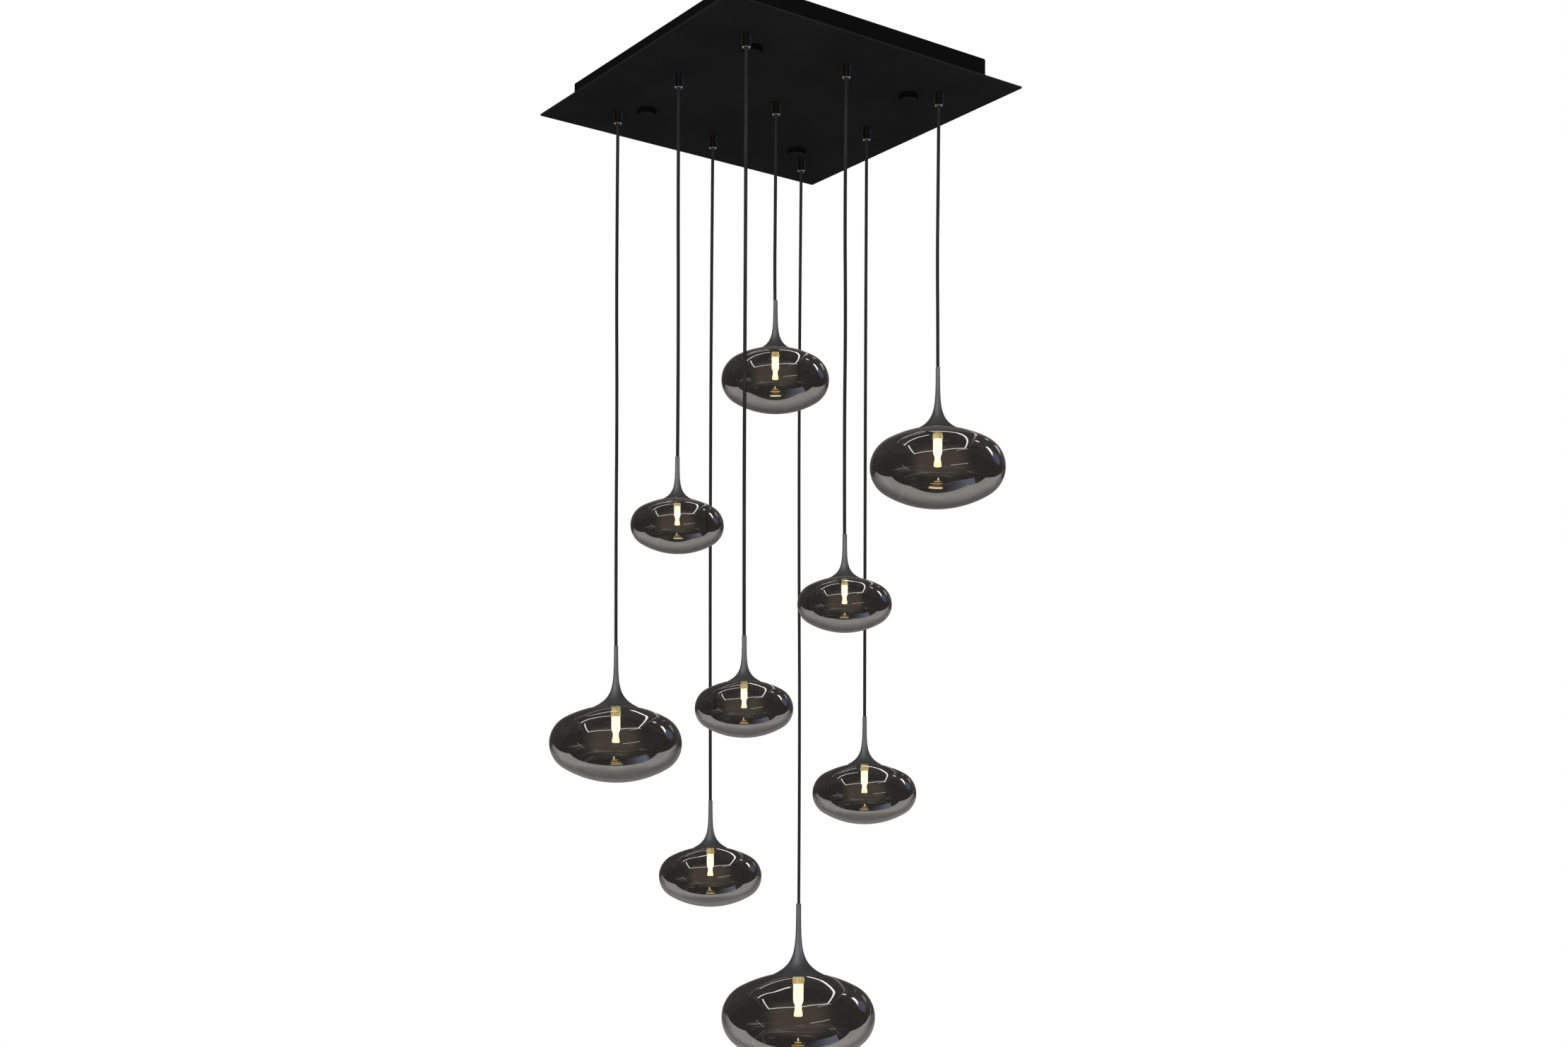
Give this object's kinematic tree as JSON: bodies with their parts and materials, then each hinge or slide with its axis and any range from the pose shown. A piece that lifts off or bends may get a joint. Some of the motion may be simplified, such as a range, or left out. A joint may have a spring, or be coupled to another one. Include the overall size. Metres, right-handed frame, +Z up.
{
  "type": "cluster pendant light",
  "caption": "Square ceiling plate with a grid of cable-hung globes of smoked glass at staggered heights, each with a flared metal neck and a lamp.",
  "frame": {"origin": "centre of the housing's top, on the ceiling face, midway between the four screw slots", "axes": "+Z up into the ceiling, X and Y along the square plate's edges"},
  "size_m": [0.5513, 0.5514, 1.4681],
  "materials": {
    "housing_paint": "fine matt black powder coat",
    "cover_paint": "fine matt black powder coat",
    "zinc_steel": "zinc plated",
    "grip_black": "satin black plated",
    "cover_nut_black": "satin black",
    "cable_black": "matt black sheath",
    "neck_gunmetal": "dark plated and polished",
    "holder_gold": "gold-coloured, finely grained",
    "lamp_glow": "frosted diffuser, lit warm white",
    "smoked_glass": "smoke grey, metallised to a half mirror",
    "connector_plastic": "plain moulded",
    "supply_plastic": "plain moulded",
    "terminal_brass": "bright",
    "bushing_rubber": "matt"
  },
  "bodies": {
    "canopy": {"ceiling_housing": "housing_paint", "cover_plate": "cover_paint", "cover_studs": "zinc_steel", "cable_grips": "grip_black", "grip_screws": "zinc_steel", "lock_nuts": "zinc_steel", "lamp_connectors": "connector_plastic", "supply_block": "supply_plastic", "inner_leads": "cable_black", "earth_terminal": "terminal_brass", "entry_bushing": "bushing_rubber"},
    "nut_1": {"cover_nut_1": "cover_nut_black"},
    "nut_2": {"cover_nut_2": "cover_nut_black"},
    "nut_3": {"cover_nut_3": "cover_nut_black"},
    "nut_4": {"cover_nut_4": "cover_nut_black"},
    "pendant_1": {"cable_1": "cable_black", "neck_1": "neck_gunmetal", "lamp_holder_1": "holder_gold", "lamp_1": "lamp_glow"},
    "globe_1": {"glass_1": "smoked_glass"},
    "pendant_2": {"cable_2": "cable_black", "neck_2": "neck_gunmetal", "lamp_holder_2": "holder_gold", "lamp_2": "lamp_glow"},
    "globe_2": {"glass_2": "smoked_glass"},
    "pendant_3": {"cable_3": "cable_black", "neck_3": "neck_gunmetal", "lamp_holder_3": "holder_gold", "lamp_3": "lamp_glow"},
    "globe_3": {"glass_3": "smoked_glass"},
    "pendant_4": {"cable_4": "cable_black", "neck_4": "neck_gunmetal", "lamp_holder_4": "holder_gold", "lamp_4": "lamp_glow"},
    "globe_4": {"glass_4": "smoked_glass"},
    "pendant_5": {"cable_5": "cable_black", "neck_5": "neck_gunmetal", "lamp_holder_5": "holder_gold", "lamp_5": "lamp_glow"},
    "globe_5": {"glass_5": "smoked_glass"},
    "pendant_6": {"cable_6": "cable_black", "neck_6": "neck_gunmetal", "lamp_holder_6": "holder_gold", "lamp_6": "lamp_glow"},
    "globe_6": {"glass_6": "smoked_glass"},
    "pendant_7": {"cable_7": "cable_black", "neck_7": "neck_gunmetal", "lamp_holder_7": "holder_gold", "lamp_7": "lamp_glow"},
    "globe_7": {"glass_7": "smoked_glass"},
    "pendant_8": {"cable_8": "cable_black", "neck_8": "neck_gunmetal", "lamp_holder_8": "holder_gold", "lamp_8": "lamp_glow"},
    "globe_8": {"glass_8": "smoked_glass"},
    "pendant_9": {"cable_9": "cable_black", "neck_9": "neck_gunmetal", "lamp_holder_9": "holder_gold", "lamp_9": "lamp_glow"},
    "globe_9": {"glass_9": "smoked_glass"}
  },
  "joints": [
    {"name": "nut_1_turn", "type": "hinge", "parent": "canopy", "child": "nut_1", "pos_m": [-0.136, -0.136, -0.049], "axis": [0, 0, 1], "continuous": true},
    {"name": "nut_2_turn", "type": "hinge", "parent": "canopy", "child": "nut_2", "pos_m": [-0.136, 0.136, -0.049], "axis": [0, 0, 1], "continuous": true},
    {"name": "nut_3_turn", "type": "hinge", "parent": "canopy", "child": "nut_3", "pos_m": [0.136, -0.136, -0.049], "axis": [0, 0, 1], "continuous": true},
    {"name": "nut_4_turn", "type": "hinge", "parent": "canopy", "child": "nut_4", "pos_m": [0.136, 0.136, -0.049], "axis": [0, 0, 1], "continuous": true},
    {"name": "pendant_1_swing", "type": "hinge", "parent": "canopy", "child": "pendant_1", "pos_m": [-0.16667, 0.16667, -0.061], "axis": [0.7071, 0.7071, 0], "range_deg": [-4.5, 15]},
    {"name": "globe_1_slide", "type": "slide", "parent": "pendant_1", "child": "globe_1", "axis": [0, 0, 1], "range_m": [-0.068, 0]},
    {"name": "pendant_2_swing", "type": "hinge", "parent": "canopy", "child": "pendant_2", "pos_m": [-0.16667, 0, -0.061], "axis": [0, 1, 0], "range_deg": [-4.5, 15]},
    {"name": "globe_2_slide", "type": "slide", "parent": "pendant_2", "child": "globe_2", "axis": [0, 0, 1], "range_m": [-0.045, 0]},
    {"name": "pendant_3_swing", "type": "hinge", "parent": "canopy", "child": "pendant_3", "pos_m": [0, 0.16667, -0.061], "axis": [1, 0, 0], "range_deg": [-4.5, 15]},
    {"name": "globe_3_slide", "type": "slide", "parent": "pendant_3", "child": "globe_3", "axis": [0, 0, 1], "range_m": [-0.055, 0]},
    {"name": "pendant_4_swing", "type": "hinge", "parent": "canopy", "child": "pendant_4", "pos_m": [-0.16667, -0.16667, -0.061], "axis": [-0.7071, 0.7071, 0], "range_deg": [-4.5, 15]},
    {"name": "globe_4_slide", "type": "slide", "parent": "pendant_4", "child": "globe_4", "axis": [0, 0, 1], "range_m": [-0.045, 0]},
    {"name": "pendant_5_swing", "type": "hinge", "parent": "canopy", "child": "pendant_5", "pos_m": [0, 0, -0.061], "axis": [0, -1, 0], "range_deg": [-4.5, 4.5]},
    {"name": "globe_5_slide", "type": "slide", "parent": "pendant_5", "child": "globe_5", "axis": [0, 0, 1], "range_m": [-0.055, 0]},
    {"name": "pendant_6_swing", "type": "hinge", "parent": "canopy", "child": "pendant_6", "pos_m": [0.16667, 0.16667, -0.061], "axis": [0.7071, -0.7071, 0], "range_deg": [-4.5, 15]},
    {"name": "globe_6_slide", "type": "slide", "parent": "pendant_6", "child": "globe_6", "axis": [0, 0, 1], "range_m": [-0.085, 0]},
    {"name": "pendant_7_swing", "type": "hinge", "parent": "canopy", "child": "pendant_7", "pos_m": [0, -0.16667, -0.061], "axis": [-1, 0, 0], "range_deg": [-4.5, 15]},
    {"name": "globe_7_slide", "type": "slide", "parent": "pendant_7", "child": "globe_7", "axis": [0, 0, 1], "range_m": [-0.045, 0]},
    {"name": "pendant_8_swing", "type": "hinge", "parent": "canopy", "child": "pendant_8", "pos_m": [0.16667, 0, -0.061], "axis": [0, -1, 0], "range_deg": [-4.5, 15]},
    {"name": "globe_8_slide", "type": "slide", "parent": "pendant_8", "child": "globe_8", "axis": [0, 0, 1], "range_m": [-0.055, 0]},
    {"name": "pendant_9_swing", "type": "hinge", "parent": "canopy", "child": "pendant_9", "pos_m": [0.16667, -0.16667, -0.061], "axis": [-0.7071, -0.7071, 0], "range_deg": [-4.5, 15]},
    {"name": "globe_9_slide", "type": "slide", "parent": "pendant_9", "child": "globe_9", "axis": [0, 0, 1], "range_m": [-0.068, 0]}
  ]
}
